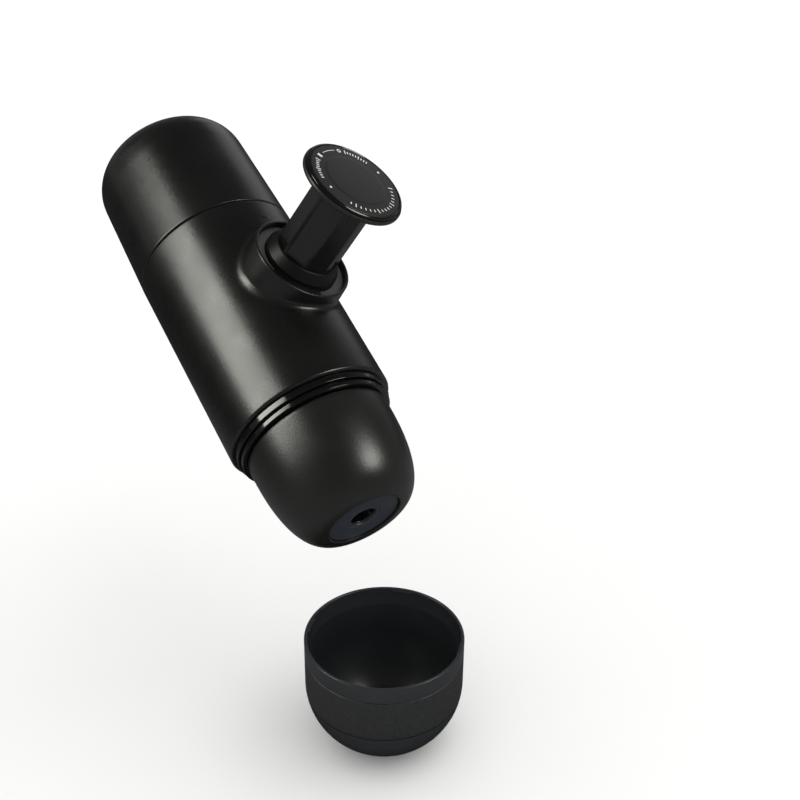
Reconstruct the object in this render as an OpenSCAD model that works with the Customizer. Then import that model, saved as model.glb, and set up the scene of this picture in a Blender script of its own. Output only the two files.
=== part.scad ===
// Handheld manual espresso maker, held tilted over its own cup.
// The maker is modelled on its own axes: Z runs down the barrel from the water tank to the outlet,
// X runs out along the hand piston, and the two axes cross at the origin, where the hand grips.
// in_hand() then turns the whole maker to its pouring pose. The cup stands upright on the table.

/* [Pouring pose] */
// How far the outlet points below the horizontal, degrees
pour_pitch = 27.5; // [0:0.5:60]
// How far the piston leans sideways from straight up, degrees
pour_roll = 19; // [-45:1:45]

/* [Barrel] */
// Outside diameter of the barrel
barrel_d = 60; // [58:0.5:66]
// Length of the barrel from the tank seam to its outlet end
barrel_l = 78; // [76:0.5:90]
// Distance from the tank seam to the piston's axis
piston_from_seam = 33; // [31:0.5:40]
// Wall thickness of the barrel
barrel_wall = 2.4; // [1.8:0.1:2.6]
// Depth of the thicker mouth that the outlet head screws into
mouth_l = 12; // [11:0.5:14]
// Extra wall thickness at that mouth
mouth_extra = 0.6; // [0.4:0.1:0.8]
// Rounding of the barrel's outlet edge
edge_r = 0.9; // [0.4:0.1:1.4]
// Width of the seam between tank and barrel
seam_gap = 0.3; // [0.2:0.05:0.6]

/* [Piston boss] */
// Outside diameter of the boss round the piston
boss_d = 36; // [35.8:0.1:40]
// Height of the boss rim above the barrel's axis
boss_h = 35; // [34.6:0.1:38]
// Width of the thin raised rim round the boss
boss_rim_w = 1.1; // [0.8:0.1:1.5]
// How far the plate inside the boss lies below its rim
boss_recess = 2.1; // [1.5:0.1:3]
// Thickness of the plate inside the boss
boss_plate_t = 4.2; // [3:0.1:4.6]
// Flare of the boss wall towards the barrel, degrees
boss_draft = 3; // [0:0.5:6]
// Radius of the blend between boss and barrel
boss_fillet = 2; // [1:0.25:5]

/* [Water tank] */
// Length of the tank from the seam to its closed end
tank_l = 55; // [40:0.5:70]
// Draft of the tank's wall, degrees
tank_draft = 1.8; // [0.5:0.1:3]
// Radius of the tank's rounded shoulder
tank_corner_r = 13; // [8:0.5:18]
// Radius of the shallow crown on the closed end
tank_crown_r = 90; // [60:5:200]
// Wall thickness of the tank
tank_wall = 2.2; // [1.6:0.1:3]
// Length of the spigot that the tank screws on to
spigot_l = 8; // [6:0.5:10]

/* [Outlet head] */
// Length of the outlet head beyond the barrel
head_l = 40; // [38:0.5:48]
// Outside diameter of the dome where it starts
dome_d = 52.4; // [51:0.2:54]
// Diameter of the flat outlet face
outlet_face_d = 28.2; // [24:0.2:32]
// Exponent of the dome's curve along its length
dome_along = 2.55; // [1.8:0.05:3]
// Exponent of the dome's curve across its length
dome_across = 2.1; // [1.6:0.05:3]
// Wall thickness of the dome
dome_wall = 2; // [1.6:0.1:2.4]
// Diameter of the upper gloss band beside the barrel
upper_band_d = 57.2; // [56.8:0.1:57.8]
// Diameter of the lower gloss band that the cup snaps over
lower_band_d = 55.6; // [55.2:0.1:56]
// Diameter of the spout hole
spout_d = 9.2; // [6:0.1:10]
// Depth of the outlet plate below the rim of the outlet face
outlet_recess = 0.9; // [0.5:0.1:1.5]

/* [Filter basket] */
// Outside diameter of the basket
basket_d = 43.2; // [40:0.2:43.2]
// Depth of the basket
basket_depth = 19; // [16:0.5:20]
// Wall thickness of the basket
basket_wall = 0.7; // [0.5:0.1:1]
// Diameter of a hole in the screens
screen_hole_d = 1.2; // [0.8:0.1:1.4]
// Rings of holes in the screens
screen_rings = 3; // [1:1:4]

/* [Piston] */
// Diameter of the piston shaft across its round corners
shaft_d = 22; // [21:0.2:22.4]
// Width of each of the eight flats on the shaft
flat_w = 6.9; // [5:0.1:8]
// Travel of the piston
stroke = 30; // [20:0.5:30]
// Diameter of the knob
knob_d = 36.6; // [35:0.2:42]
// Thickness of the knob
knob_t = 4.6; // [4.4:0.1:6]
// Height of the pulled-out knob's face above the barrel's axis
knob_h = 71.3; // [70.4:0.1:73]
// Bore of the pump cylinder
pump_bore = 11; // [9:0.2:12]
// Wire diameter of the return spring
spring_wire = 1; // [0.8:0.1:1.2]
// Turns of the return spring
spring_turns = 8; // [6:1:9]

/* [Lock collar] */
// Diameter of the collar's round body
collar_d = 27; // [26:0.2:28]
// Height of the collar's sloping nose
collar_nose = 3.7; // [2:0.1:4]
// Reach of the two lock lugs from the piston's axis
lug_reach = 16.5; // [15.5:0.1:16.6]
// Angle that each lock lug spans, degrees
lug_span = 70; // [40:1:90]

/* [Cup] */
// Outside diameter of the cup
cup_d = 58.4; // [58.2:0.1:60]
// Height of the cup
cup_h = 44.5; // [42:0.5:60]
// Height where the straight wall turns into the bowl
bowl_h = 25; // [20:0.5:34]
// Depth of the bowl's curve if it ran to the axis
bowl_depth = 28; // [26:0.5:40]
// Diameter of the foot
foot_d = 27.4; // [22:0.2:32]
// Height of the foot
foot_h = 1.2; // [0.8:0.1:3]
// Wall thickness of the cup at its rim
cup_wall = 1.2; // [1:0.1:1.6]
// Height of the smooth rim band above the sleeve
rim_band = 6.5; // [4:0.5:12]
// Height of the textured sleeve
sleeve_h = 17.3; // [8:0.1:18]
// Thickness of the sleeve in its recess
sleeve_t = 0.7; // [0.5:0.1:0.8]
// Place of the cup along the table, from the piston's axis
cup_x = 64.5; // [50:0.5:90]
// Place of the cup across the table, from the barrel's axis
cup_y = 14.5; // [-20:0.5:20]
// Height of the grip above the table
grip_h = 146; // [130:1:220]

/* [Hidden] */

$fn = 96;
over = 1;               // how far a cutter runs past the face it cuts
run_fit = 0.08;         // radial clearance of a part that turns or slides in its bore
seat_fit = 0.1;         // radial clearance of a part that drops into a fixed seat
press_fit = 0.05;       // radial clearance of a part that is held tight in its seat
face_gap = 0.3;         // gap between faces of parts that move apart
arc_steps = 10;         // straight steps in each drawn curve

// stations along the barrel
seam_z = -piston_from_seam;
end_z = barrel_l - piston_from_seam;
barrel_r = barrel_d / 2;
bore_r = barrel_r - barrel_wall;
mouth_r = bore_r - mouth_extra;
mouth_z = end_z - mouth_l;
plug_r = bore_r - seat_fit;

// bulkhead on the tank side and its spigot
bulkhead_t = 6;
bulkhead_z = seam_z + bulkhead_t;
spigot_r = bore_r - 1.2;
spigot_wall = 2.9;
tank_seal_w = 1.5;
tank_seal_d = 0.95;
tank_seal_at = 4;       // from the seam to the seal
port_r = 1.6;
port_h = 20;            // distance of the water channel from the barrel's axis

// group head on the outlet side
group_t = 6;
group_z = mouth_z - group_t;
dispersion_r = 20.4;
dispersion_depth = 1.2;
screen_t = 0.8;
screen_r = dispersion_r + 0.9;
group_seal_in = screen_r + 0.5;
group_seal_out = group_seal_in + 3.7;
group_seal_sunk = 0.8;
group_seal_t = 1.8;
group_seal_z = mouth_z - group_seal_sunk;
basket_z = group_seal_z + group_seal_t;

// posts that tie the two together
post_r = 3.4;
post_x = 7;
post_y = 18.6;
screw_r = 1.2;
screw_hole_r = screw_r + press_fit;
screw_head_r = 2.75;
screw_head_t = 2;
screw_l = 14;
screw_hole_spare = 1;
screen_pitch = 4.8;     // between rings of holes in the shower screen
basket_pitch = 4.6;     // between rings of holes in the basket's screen

// pump along the piston's axis
housing_r = 14.6;
housing_bore_r = 12.8;
housing_floor = -17.5;
housing_floor_t = 5;
stub_r = 5;
chamber_r = 3.2;
chamber_l = 9.5;
valve_l = 8;
cylinder_wall = 1.9;
cylinder_r = pump_bore / 2 + cylinder_wall;
cylinder_top = 23.5;

// boss and lock collar
boss_r = boss_d / 2;
plate_top = boss_h - boss_recess;
plate_foot = plate_top - boss_plate_t;
plate_r = boss_r - boss_rim_w - press_fit;
boss_bore_r = 15.4;
collar_r = collar_d / 2;
collar_foot = plate_foot - 3;
collar_flange_r = boss_bore_r - 0.4;
collar_flange_t = 2.2;
lug_t = 1;
lug_turn = 144;
nose_top = boss_h + collar_nose;
nose_r = shaft_d / 2 + 0.7;

// piston, pulled out
shaft_r = shaft_d / 2;
flat_at = sqrt(shaft_r * shaft_r - flat_w * flat_w / 4);
flat_turn = 30;         // turn of the flats about the shaft
shaft_bore_r = 9.4;
stop_t = 3;
stop_r = housing_bore_r - 0.4;
stop_top = collar_foot - face_gap;
housing_top = collar_foot - 1.5;
knob_r = knob_d / 2;
knob_under = knob_h - knob_t;
knob_plate_t = 1;
knob_taper_w = 3.3;
knob_taper_h = 2.1;
knob_hollow_r = collar_r + 0.4;
knob_cap_t = 1;
knob_cap_r = knob_r - 1.7;
knob_inside = knob_h - knob_cap_t - knob_plate_t + 0.2;
rod_r = 3;
rod_flange_t = 2;
rod_flange_r = shaft_bore_r - seat_fit;
head_top = cylinder_top;
head_len = 7;
pump_seal_r = 0.75;
knob_screw_r = 1.25;
knob_screw_l = 8;
knob_screw_head_r = 2.9;
knob_screw_head_t = 0.6;
spring_r = (shaft_bore_r + stop_r) / 2;

// water tank
tank_mouth_z = seam_z - seam_gap;
socket_r = spigot_r + run_fit;
socket_l = spigot_l + 1;

// outlet head
neck_r = mouth_r - run_fit;
neck_l = mouth_l - 1.3;
head_bore_r = basket_d / 2 + 0.3;
rim_seat_r = head_bore_r + 1.9;
basket_rim_t = 1.2;
basket_foot_t = 2;      // foot ring below the basket's screen
basket_ledge = 1.5;
upper_band_z = end_z + 0.2;
upper_band_t = 2.3;
groove_t = 0.6;
lower_band_z = upper_band_z + upper_band_t + groove_t;
lower_band_t = 1.7;
groove_r = lower_band_d / 2 - 0.8;
dome_gap = 0.6;
dome_z = lower_band_z + lower_band_t + dome_gap;
face_z = end_z + head_l;
dome_r = dome_d / 2;
face_r = outlet_face_d / 2;
dome_neck_r = dome_r - 1.7;
dome_neck_end = dome_z + 6;
head_seal_w = 1.5;
head_seal_d = 1.35;
head_seal_at = 7.5;     // from the barrel's end back to the seal
plate_lip = 1.1;
outlet_plate_r = face_r - plate_lip;
outlet_plate_t = 1.1;
outlet_plate_z = face_z - outlet_recess - outlet_plate_t;
outlet_ledge = 1.5;
spout_r = spout_d / 2;
nozzle_wall = 1.4;
nozzle_throat_r = 2.2;
nozzle_l = 13;
nozzle_top = outlet_plate_z - nozzle_l;
funnel_t = 1.4;
funnel_rim_r = dome_neck_r - 0.7;

// cup
cup_r = cup_d / 2;
cup_floor_t = 2;
cup_floor_rise = 1.3;   // rise of the inside floor from its middle to the wall
snap_reach = 0.5;       // how far the snap lugs stand in from the wall
snap_t = 0.9;
snap_count = 4;
snap_span = 16;
sleeve_top = cup_h - rim_band;
sleeve_foot = sleeve_top - sleeve_h;
line_w = 0.25;          // dark line at either edge of the sleeve

// ---- helpers ----

module in_hand() {
    rotate([0, 90 + pour_pitch, 0]) rotate([0, 0, 180 - pour_roll]) children();
}

module along_piston() {
    rotate([0, 90, 0]) children();
}

module on_table() {
    translate([cup_x, cup_y, -grip_h]) children();
}

// round bar from station a to station b
module bar(r, a, b) {
    translate([0, 0, a]) cylinder(r = r, h = b - a);
}

// tube with a true bore from station a to station b
module tube(r_out, r_in, a, b) {
    difference() {
        bar(r_out, a, b);
        bar(r_in, a - over, b + over);
    }
}

// sector of a ring, centred on angle mid
module ring_sector(r_out, r_in, a, b, mid, span) {
    intersection() {
        tube(r_out, r_in, a, b);
        rotate([0, 0, mid - span / 2])
            translate([0, 0, a - over])
                linear_extrude(height = b - a + 2 * over)
                    polygon([[0, 0], [2 * r_out, 0],
                             [2 * r_out * cos(span / 2), 2 * r_out * sin(span / 2)],
                             [2 * r_out * cos(span), 2 * r_out * sin(span)]]);
    }
}

// rings of drilled holes, 6 more in each ring, with or without one in the middle
module screen_holes(r, pitch, a, b, skip_centre) {
    for (ring = [1 : screen_rings])
        for (i = [0 : 6 * ring - 1])
            rotate([0, 0, i * 60 / ring])
                translate([ring * pitch, 0, 0])
                    bar(r, a - over, b + over);
    if (!skip_centre) bar(r, a - over, b + over);
}

function arc(cx, cy, r, from, to) =
    [for (i = [0 : arc_steps])
        let (t = from + (to - from) * i / arc_steps)
        [cx + r * cos(t), cy + r * sin(t)]];

// outline of the closed tank, as radius against distance from its mouth
function tank_outline(inset) =
    let (rc = tank_corner_r - inset,
         rs = tank_crown_r - inset,
         len = tank_l - inset,
         cy0 = len - rc,
         cx = barrel_r - inset - cy0 * tan(tank_draft) - rc / cos(tank_draft),
         cy = len - rs + sqrt((rs - rc) * (rs - rc) - cx * cx),
         meet = acos(cx / (rs - rc)))
    concat(arc(cx, cy, rc, tank_draft, meet), arc(0, len - rs, rs, meet, 90));

// radius of the dome at station z
function dome_at(z) =
    let (u = min(1, (z - dome_z) / (face_z - dome_z)))
    face_r + (dome_r - face_r) * pow(1 - pow(u, dome_along), 1 / dome_across);

// the dome's curve, drawn with closer steps towards the outlet face
function dome_outline(from, to, inset) =
    [for (i = [0 : 2 * arc_steps])
        let (t = 1 - pow(1 - i / (2 * arc_steps), 2), z = from + (to - from) * t)
        [dome_at(z + inset * t) - inset, z]];

// radius of the cup's wall at height h
function cup_at(h) =
    h >= bowl_h ? cup_r : cup_r * sqrt(1 - pow((bowl_h - h) / bowl_depth, 2));

function cup_outline(from, to, inset) =
    [for (i = [0 : 2 * arc_steps])
        let (h = from + (to - from) * i / (2 * arc_steps))
        [cup_at(h) - inset, h]];

// ---- barrel ----

// blend between boss and barrel, swept round the boss: it leaves the barrel along the barrel's own
// slope and ends upright on the boss
blend_sides = 72;
blend_rows = 7;
blend_sink = 0.12;      // how far its two edges dip into the barrel and the boss
blend_below_rim = 0.4;  // least way from its top up to the boss rim
blend_root_r = boss_bore_r + 0.9;
// the boss's outside radius at height h, with its flare
function boss_wall(h) = boss_r + (boss_h - h) * tan(boss_draft);
function barrel_height(r, t, across) = sqrt(across * across - pow(r * sin(t), 2));
function blend_point(t, row) =
    let (wall_r = boss_wall(barrel_height(boss_r, t, barrel_r)),
         foot_r = wall_r + boss_fillet,
         high = min(barrel_height(wall_r, t, barrel_r) + boss_fillet, boss_h - blend_below_rim),
         top_r = boss_wall(high) - blend_sink,
         low = barrel_height(foot_r, t, barrel_r) - blend_sink,
         knee = low + (foot_r - top_r) * foot_r * pow(sin(t), 2) / low,
         s = row / blend_rows, q = (1 - s) * (1 - s), r = q * foot_r + (1 - q) * top_r)
    [r * cos(t), r * sin(t), q * low + 2 * s * (1 - s) * knee + s * s * high];

module boss_blend() {
    ring = blend_rows + 3;
    points = [for (i = [0 : blend_sides - 1])
        let (t = 360 * i / blend_sides)
        each concat([for (row = [0 : blend_rows]) blend_point(t, row)],
                    [[blend_root_r * cos(t), blend_root_r * sin(t), blend_point(t, blend_rows)[2]],
                     [blend_root_r * cos(t), blend_root_r * sin(t),
                      barrel_height(blend_root_r, t, barrel_r - barrel_wall / 2)]])];
    faces = [for (i = [0 : blend_sides - 1], k = [0 : ring - 1])
        let (a = i * ring + k, b = i * ring + (k + 1) % ring,
             j = (i + 1) % blend_sides,
             c = j * ring + (k + 1) % ring, d = j * ring + k)
        each [[a, b, c], [a, c, d]]];
    polyhedron(points = points, faces = faces, convexity = 6);
}

module body_shell() {
    color("#1b1b1b") in_hand() difference() {
        union() {
            rotate_extrude() polygon(concat(
                [[bore_r, seam_z], [barrel_r - seam_gap, seam_z], [barrel_r, seam_z + seam_gap]],
                arc(barrel_r - edge_r, end_z - edge_r, edge_r, 0, 90),
                [[mouth_r, end_z], [mouth_r, mouth_z], [bore_r, mouth_z]]));
            along_piston() {
                difference() {
                    cylinder(h = boss_h, r1 = boss_wall(0), r2 = boss_r);
                    rotate([0, 90, 0])
                        cylinder(r = barrel_r - barrel_wall / 2, h = 4 * boss_r, center = true);
                }
                boss_blend();
            }
        }
        along_piston() bar(boss_bore_r, 0, boss_h + over);
        along_piston() bar(boss_r - boss_rim_w, plate_foot, boss_h + over);
    }
}

module boss_plate() {
    color("#2a2a2a") in_hand() along_piston()
        tube(plate_r, collar_r + run_fit, plate_foot, plate_top);
}

module at_posts() {
    for (x = [-post_x, post_x], y = [-post_y, post_y]) translate([x, y, 0]) children();
}

module tank_bulkhead() {
    color("#26282a") in_hand() difference() {
        union() {
            bar(plug_r, seam_z, bulkhead_z);
            bar(spigot_r, seam_z - spigot_l, seam_z);
        }
        bar(spigot_r - spigot_wall, seam_z - spigot_l - over, seam_z);
        at_posts() bar(screw_hole_r, seam_z - over, bulkhead_z + over);
        at_port() bar(port_r, seam_z - over, bulkhead_z + over);
    }
}

module at_port() {
    translate([-port_h, 0, 0]) children();
}

module inlet_strainer() {
    cap_r = 3;
    cap_t = 1.4;
    cap_wall = 0.5;
    hole_r = 0.4;
    hole_ring_r = 1.5;
    color("#b8babc") in_hand() at_port() translate([0, 0, seam_z - cap_t]) difference() {
        bar(cap_r, 0, cap_t);
        bar(cap_r - cap_wall, cap_t / 2, cap_t + over);
        for (i = [0 : 5])
            rotate([0, 0, 60 * i]) translate([hole_ring_r, 0, 0]) bar(hole_r, -over, cap_t);
        bar(hole_r, -over, cap_t);
    }
}

module bulkhead_screws() {
    hex_r = 1.3;
    hex_depth = 1.1;
    foot = seam_z - screw_head_t;
    color("#8d9093") in_hand() at_posts() difference() {
        union() {
            bar(screw_head_r, foot, seam_z);
            bar(screw_r, foot + screw_head_t / 2, seam_z + screw_l);
        }
        translate([0, 0, foot - over]) cylinder(r = hex_r, h = over + hex_depth, $fn = 6);
    }
}

module group_head() {
    color("#26282a") in_hand() difference() {
        union() {
            bar(plug_r, group_z, mouth_z);
            at_posts() bar(post_r, bulkhead_z, group_z);
        }
        bar(dispersion_r, mouth_z - dispersion_depth, mouth_z + over);
        tube(group_seal_out, group_seal_in, group_seal_z, mouth_z + over);
        at_port() bar(port_r, group_z - over, mouth_z - dispersion_depth + seat_fit);
        at_posts() bar(screw_hole_r, bulkhead_z - over, seam_z + screw_l + screw_hole_spare);
        bar(screw_hole_r, group_z - over, mouth_z);
    }
}

module shower_screen() {
    color("#c4c6c8") in_hand() difference() {
        bar(screen_r, mouth_z, mouth_z + screen_t);
        screen_holes(screen_hole_d / 2, screen_pitch, mouth_z, mouth_z + screen_t, true);
        bar(screw_hole_r, mouth_z - over, mouth_z + screen_t + over);
    }
}

module screen_screw() {
    head_t = 1.2;
    slot_w = 0.8;
    face = mouth_z + screen_t;
    color("#b0b2b4") in_hand() difference() {
        union() {
            bar(screw_head_r, face, face + head_t);
            bar(screw_r, group_z + head_t, face + head_t / 2);
        }
        translate([-screw_head_r, -slot_w / 2, face + head_t / 2])
            cube([2 * screw_head_r, slot_w, over]);
    }
}

module group_seal() {
    color("#6e3a2c") in_hand()
        tube(group_seal_out - press_fit, group_seal_in + press_fit, group_seal_z, group_seal_z + group_seal_t);
}

// ---- pump ----

module pump_housing() {
    color("#303234") in_hand() difference() {
        union() {
            along_piston() bar(housing_r, housing_floor - housing_floor_t, housing_top);
            at_port() bar(stub_r, bulkhead_z, group_z);
        }
        along_piston() bar(housing_bore_r, housing_floor, housing_top + over);
        at_port() bar(port_r, bulkhead_z - over, group_z + over);
        at_port() bar(chamber_r, bulkhead_z - over, bulkhead_z + chamber_l);
        at_port() bar(chamber_r, group_z - chamber_l, group_z + over);
        along_piston() bar(port_r, -port_h, housing_floor + over);
    }
}

module pump_cylinder() {
    floor_t = 1.5;
    color("#9a9c9e") in_hand() along_piston() difference() {
        bar(cylinder_r, housing_floor, cylinder_top);
        bar(pump_bore / 2, housing_floor + floor_t, cylinder_top + over);
        bar(port_r, housing_floor - over, housing_floor + floor_t + over);
    }
}

// soft duckbill valve: a flanged tube that narrows to a slit
module duckbill(base_z) {
    flange_t = 1.5;
    lip_w = 4.4;
    lip_t = 0.9;
    slit_w = 0.2;
    neck_t = 1;
    at_port() translate([0, 0, base_z]) {
        difference() {
            union() {
                bar(chamber_r - press_fit, 0, flange_t);
                hull() {
                    translate([0, 0, flange_t]) cylinder(r = lip_w / 2, h = neck_t, $fn = 24);
                    translate([-lip_w / 2, -lip_t / 2, valve_l - neck_t]) cube([lip_w, lip_t, neck_t]);
                }
            }
            bar(port_r, -over, flange_t + neck_t);
            translate([-port_r, -slit_w / 2, 0]) cube([2 * port_r, slit_w, valve_l + over]);
        }
    }
}

module inlet_valve() {
    color("#c9c4b8") in_hand() duckbill(bulkhead_z);
}

module outlet_valve() {
    color("#c9c4b8") in_hand() duckbill(group_z - chamber_l);
}

// ---- piston and lock collar ----

// bar with eight flats and round corners
module fluted_bar(r, at, a, b) {
    intersection() {
        bar(r, a, b);
        rotate([0, 0, flat_turn - 22.5])
            translate([0, 0, a])
                cylinder(r = at / cos(22.5), h = b - a, $fn = 8);
    }
}

module lock_collar() {
    lug_z = plate_top + face_gap;
    nose_edge = 0.4;
    color("#0c0c0c") in_hand() along_piston() difference() {
        union() {
            rotate_extrude() polygon([
                [0, collar_foot], [collar_r, collar_foot], [collar_r, boss_h],
                [nose_r, nose_top - nose_edge], [nose_r - nose_edge, nose_top], [0, nose_top]]);
            bar(collar_flange_r, plate_foot - face_gap - collar_flange_t, plate_foot - face_gap);
            for (side = [0, 180])
                ring_sector(lug_reach, collar_r - over, lug_z, lug_z + lug_t, lug_turn + side, lug_span);
        }
        fluted_bar(shaft_r + run_fit, flat_at + run_fit, collar_foot - over, nose_top + over);
    }
}

module piston_shaft() {
    color("#0c0c0c") in_hand() along_piston() difference() {
        union() {
            fluted_bar(shaft_r, flat_at, stop_top - stop_t, knob_inside);
            bar(stop_r, stop_top - stop_t, stop_top);
        }
        bar(shaft_bore_r, stop_top - stop_t - over, knob_inside + over);
    }
}

module piston_knob() {
    groove_h = 0.45;
    groove_depth = 1;
    waist = knob_h - 1.2;
    tier_r = knob_r - 0.5;      // upper tier, above the groove
    edge = 0.2;
    color("#141414") in_hand() along_piston() difference() {
        rotate_extrude() polygon([
            [0, knob_under], [knob_r - knob_taper_w, knob_under], [knob_r, knob_under + knob_taper_h],
            [knob_r, waist - edge], [knob_r - edge, waist], [knob_r - groove_depth, waist],
            [knob_r - groove_depth, waist + groove_h], [tier_r, waist + groove_h],
            [tier_r, knob_h - 2 * edge], [tier_r - 2 * edge, knob_h], [knob_cap_r + 2 * edge, knob_h],
            [knob_cap_r + edge, knob_h - 2 * edge], [0, knob_h - 2 * edge]]);
        bar(knob_cap_r + press_fit, knob_h - knob_cap_t, knob_h + over);
        bar(knob_hollow_r, knob_under - over, knob_inside);
        bar(knob_screw_r + press_fit, knob_inside - over, knob_h);
    }
}

module knob_cap() {
    disc_r = 11;                // raised middle of the cap
    step = 0.15;
    foot = knob_h - knob_cap_t;
    color("#191919") in_hand() along_piston() difference() {
        rotate_extrude() polygon([
            [0, foot], [knob_cap_r, foot], [knob_cap_r, knob_h - step], [knob_cap_r - step, knob_h],
            [disc_r + step, knob_h], [disc_r, knob_h + step], [0, knob_h + step]]);
        bar(knob_screw_head_r + face_gap, foot - over, foot + knob_screw_head_t + step);
    }
}

module knob_screw() {
    seat = knob_h - knob_cap_t;
    color("#8d9093") in_hand() along_piston() {
        bar(knob_screw_head_r, seat, seat + knob_screw_head_t);
        bar(knob_screw_r, seat - knob_screw_l, seat + knob_screw_head_t / 2);
    }
}

module plunger_rod() {
    head_r = pump_bore / 2 - run_fit;
    head_foot = head_top - head_len;
    color("#a7a9ab") in_hand() along_piston() difference() {
        union() {
            bar(rod_r, head_foot, knob_inside);
            bar(rod_flange_r, knob_inside - rod_flange_t, knob_inside);
            bar(head_r, head_foot, head_top);
        }
        bar(knob_screw_r + press_fit, knob_h - knob_cap_t - knob_screw_l - face_gap, knob_inside + over);
        translate([0, 0, head_top - head_len / 2])
            tube(head_r + over, head_r - pump_seal_r, -pump_seal_r, pump_seal_r);
    }
}

module piston_seal() {
    ring_wire_r = 0.35;
    squeeze_fit = 0.03;
    color("#6e3a2c") in_hand() along_piston()
        translate([0, 0, head_top - head_len / 2])
            rotate_extrude()
                translate([pump_bore / 2 - squeeze_fit - ring_wire_r, 0]) circle(r = ring_wire_r, $fn = 24);
}

// return spring, a wire swept along a helix whose end turns lie close
spring_sides = 6;
spring_steps = 10;
spring_foot = housing_floor + spring_wire / 2 + press_fit;
spring_head = stop_top - stop_t - spring_wire / 2 - press_fit;
spring_end_pitch = spring_wire + 0.5;
spring_pitch = (spring_head - spring_foot - 2 * spring_end_pitch) / (spring_turns - 2);
function spring_z(n) =
    spring_foot + spring_end_pitch * min(n, 1)
    + spring_pitch * min(max(n - 1, 0), spring_turns - 2)
    + spring_end_pitch * max(n - spring_turns + 1, 0);

module return_spring() {
    count = spring_turns * spring_steps;
    points = [for (i = [0 : count])
        let (n = i / spring_steps, t = 360 * n)
        each [for (k = [0 : spring_sides - 1])
            let (a = 360 * k / spring_sides, r = spring_r + spring_wire / 2 * cos(a))
            [r * cos(t), r * sin(t), spring_z(n) + spring_wire / 2 * sin(a)]]];
    ends = [[for (k = [spring_sides - 1 : -1 : 0]) k],
            [for (k = [0 : spring_sides - 1]) count * spring_sides + k]];
    walls = [for (i = [0 : count - 1], k = [0 : spring_sides - 1])
        let (a = i * spring_sides + k, b = i * spring_sides + (k + 1) % spring_sides,
             c = b + spring_sides, d = a + spring_sides)
        each [[a, b, c], [a, c, d]]];
    color("#b8babc") in_hand() along_piston()
        polyhedron(points = points, faces = concat(ends, walls), convexity = 8);
}

// ---- water tank ----

module tank_shell() {
    shoulder = 2;
    mouth_in_r = spigot_r - 1.5;
    inside_foot = socket_l + shoulder;
    seal_z = tank_seal_at - seam_gap;
    color("#1b1b1b") in_hand() translate([0, 0, tank_mouth_z]) mirror([0, 0, 1]) difference() {
        rotate_extrude() polygon(concat(
            [[0, 0], [barrel_r - seam_gap, 0], [barrel_r, seam_gap]],
            tank_outline(0), [[0, tank_l]]));
        rotate_extrude() polygon(concat(
            [[0, inside_foot], [mouth_in_r, inside_foot],
             [barrel_r - 2 * tank_wall, inside_foot + tank_wall]],
            tank_outline(tank_wall), [[0, tank_l - tank_wall]]));
        bar(socket_r, -over, socket_l);
        bar(mouth_in_r, 0, inside_foot + over);
        bar(socket_r + tank_seal_d, seal_z - seat_fit, seal_z + tank_seal_w + seat_fit);
    }
}

module tank_seal() {
    top = seam_z - tank_seal_at;
    color("#6e3a2c") in_hand()
        tube(socket_r + tank_seal_d - seat_fit, spigot_r + press_fit, top - tank_seal_w, top);
}

// ---- outlet head ----

module head_ring() {
    upper_r = upper_band_d / 2;
    lower_r = lower_band_d / 2;
    edge = 0.3;
    color("#0c0c0c") in_hand() difference() {
        union() {
            bar(neck_r, end_z - neck_l, upper_band_z);
            bar(dome_neck_r, upper_band_z, dome_neck_end);
            bar(groove_r, upper_band_z, lower_band_z + lower_band_t);
            rotate_extrude() polygon(concat(
                [[0, upper_band_z], [upper_r - edge, upper_band_z], [upper_r, upper_band_z + edge]],
                arc(upper_r - edge, upper_band_z + upper_band_t - edge, edge, 0, 90),
                [[0, upper_band_z + upper_band_t]]));
            rotate_extrude() polygon(concat(
                [[0, lower_band_z]],
                arc(lower_r - edge, lower_band_z + edge, edge, -90, 0),
                arc(lower_r - edge, lower_band_z + lower_band_t - edge, edge, 0, 90),
                [[0, lower_band_z + lower_band_t]]));
        }
        bar(head_bore_r, end_z - neck_l - over, dome_neck_end + over);
        bar(rim_seat_r, end_z - neck_l - over, basket_z + basket_rim_t);
        tube(neck_r + over, neck_r - head_seal_d,
             end_z - head_seal_at - seat_fit, end_z - head_seal_at + head_seal_w + seat_fit);
    }
}

module head_seal() {
    color("#6e3a2c") in_hand()
        tube(mouth_r - press_fit, neck_r - head_seal_d + seat_fit,
             end_z - head_seal_at, end_z - head_seal_at + head_seal_w);
}

module head_dome() {
    inner_end = outlet_plate_z - outlet_ledge;
    edge = 0.3;
    color("#1d1d1d") in_hand() difference() {
        rotate_extrude() polygon(concat(
            [[0, dome_z], [dome_r - edge, dome_z]],
            dome_outline(dome_z + edge, face_z, 0),
            [[0, face_z]]));
        rotate_extrude() polygon(concat(
            [[0, dome_neck_end]],
            [for (p = dome_outline(dome_neck_end, face_z - dome_wall, dome_wall))
                if (p[1] < inner_end) p],
            [[0, inner_end]]));
        bar(dome_neck_r + run_fit, dome_z - over, dome_neck_end + seat_fit);
        bar(outlet_plate_r + press_fit, outlet_plate_z, face_z + over);
        bar(outlet_plate_r - outlet_ledge, inner_end - over, face_z + over);
    }
}

module outlet_plate() {
    color("#22262d") in_hand() difference() {
        bar(outlet_plate_r, outlet_plate_z, outlet_plate_z + outlet_plate_t);
        bar(spout_r, outlet_plate_z - over, face_z + over);
    }
}

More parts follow.
